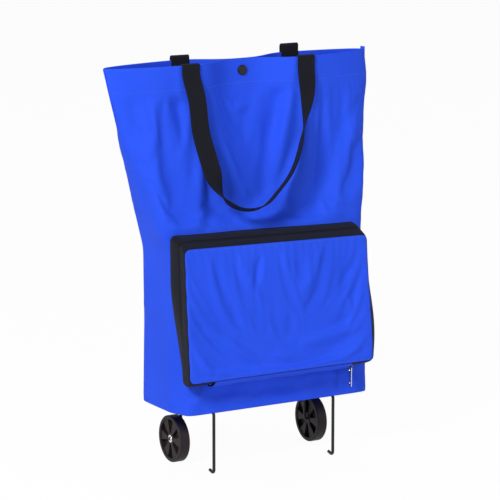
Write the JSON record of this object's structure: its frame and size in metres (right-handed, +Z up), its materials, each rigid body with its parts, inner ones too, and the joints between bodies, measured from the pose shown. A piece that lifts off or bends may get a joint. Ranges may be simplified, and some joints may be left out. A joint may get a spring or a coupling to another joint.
{
  "type": "folding shopping trolley bag",
  "caption": "Foldable cloth shopping tote on small wheels with a hinged wire stand, webbing handles and a zipped front pocket for stowing it.",
  "frame": {"origin": "on the floor below the middle of the whole trolley", "axes": "+Z up; front of the bag, with the pocket, towards -Y; X across the bag"},
  "size_m": [0.381, 0.165, 0.541],
  "materials": {
    "blue_cloth": "coated oxford weave",
    "board": "smooth sheet",
    "snap_black": "satin enamel",
    "snap_metal": "plated",
    "black_webbing": "ribbed webbing",
    "zip_tape": "woven tape",
    "zip_coil": "moulded coil",
    "zip_slider": "enamelled die casting",
    "zip_metal": "plated",
    "black_wire": "powder coated",
    "wheel_plastic": "moulded",
    "washer_plastic": "moulded",
    "nut_steel": "bright spring steel"
  },
  "bodies": {
    "bag": {"front_panel": "blue_cloth", "back_panel": "blue_cloth", "bottom_panel": "blue_cloth", "base_board": "board", "left_seam_binding": "blue_cloth", "right_seam_binding": "blue_cloth", "snap_cap": "snap_black", "snap_socket": "snap_metal", "snap_stud": "snap_metal", "snap_post": "snap_black", "front_handle_ends": "black_webbing", "back_handle_ends": "black_webbing", "pocket_face": "blue_cloth", "pocket_bottom": "blue_cloth", "zip_tape_rear": "zip_tape", "zip_tape_front": "zip_tape", "zip_coil": "zip_coil", "zip_stops": "zip_metal", "leg_channel": "blue_cloth", "wheel_channel": "blue_cloth"},
    "front_loop": {"front_handle": "black_webbing"},
    "back_loop": {"back_handle": "black_webbing"},
    "slider": {"zip_slider": "zip_slider"},
    "pull": {"zip_pull": "zip_metal"},
    "stand": {"leg_frame": "black_wire"},
    "axle": {"wheel_frame": "black_wire", "axle_washers": "washer_plastic", "push_nuts": "nut_steel"},
    "left_wheel": {"left_wheel": "wheel_plastic"},
    "right_wheel": {"right_wheel": "wheel_plastic"}
  },
  "joints": [
    {"name": "leg_fold", "type": "hinge", "parent": "bag", "child": "stand", "pos_m": [0.0315, -0.04338, 0.08135], "axis": [1, 0, 0], "range_deg": [0, 85]},
    {"name": "wheel_fold", "type": "hinge", "parent": "bag", "child": "axle", "pos_m": [0.0315, 0.01852, 0.08135], "axis": [-1, 0, 0], "range_deg": [0, 64]},
    {"name": "left_wheel_spin", "type": "hinge", "parent": "axle", "child": "left_wheel", "pos_m": [-0.0725, 0.02851, 0.031], "axis": [1, 0, 0], "continuous": true},
    {"name": "right_wheel_spin", "type": "hinge", "parent": "axle", "child": "right_wheel", "pos_m": [0.1355, 0.02851, 0.031], "axis": [1, 0, 0], "continuous": true},
    {"name": "front_handle_swing", "type": "hinge", "parent": "bag", "child": "front_loop", "pos_m": [0.0125, -0.0298, 0.519], "axis": [-1, 0, 0], "range_deg": [0, 160]},
    {"name": "back_handle_swing", "type": "hinge", "parent": "bag", "child": "back_loop", "pos_m": [0.0125, 0.03283, 0.519], "axis": [1, 0, 0], "range_deg": [0, 160]},
    {"name": "zip_slide", "type": "slide", "parent": "bag", "child": "slider", "axis": [1, 0, 0], "range_m": [0, 0.006]},
    {"name": "zip_pull_swing", "type": "hinge", "parent": "slider", "child": "pull", "pos_m": [0.1358, -0.07065, 0.1216], "axis": [0, 1, 0], "range_deg": [-70, 70]}
  ]
}
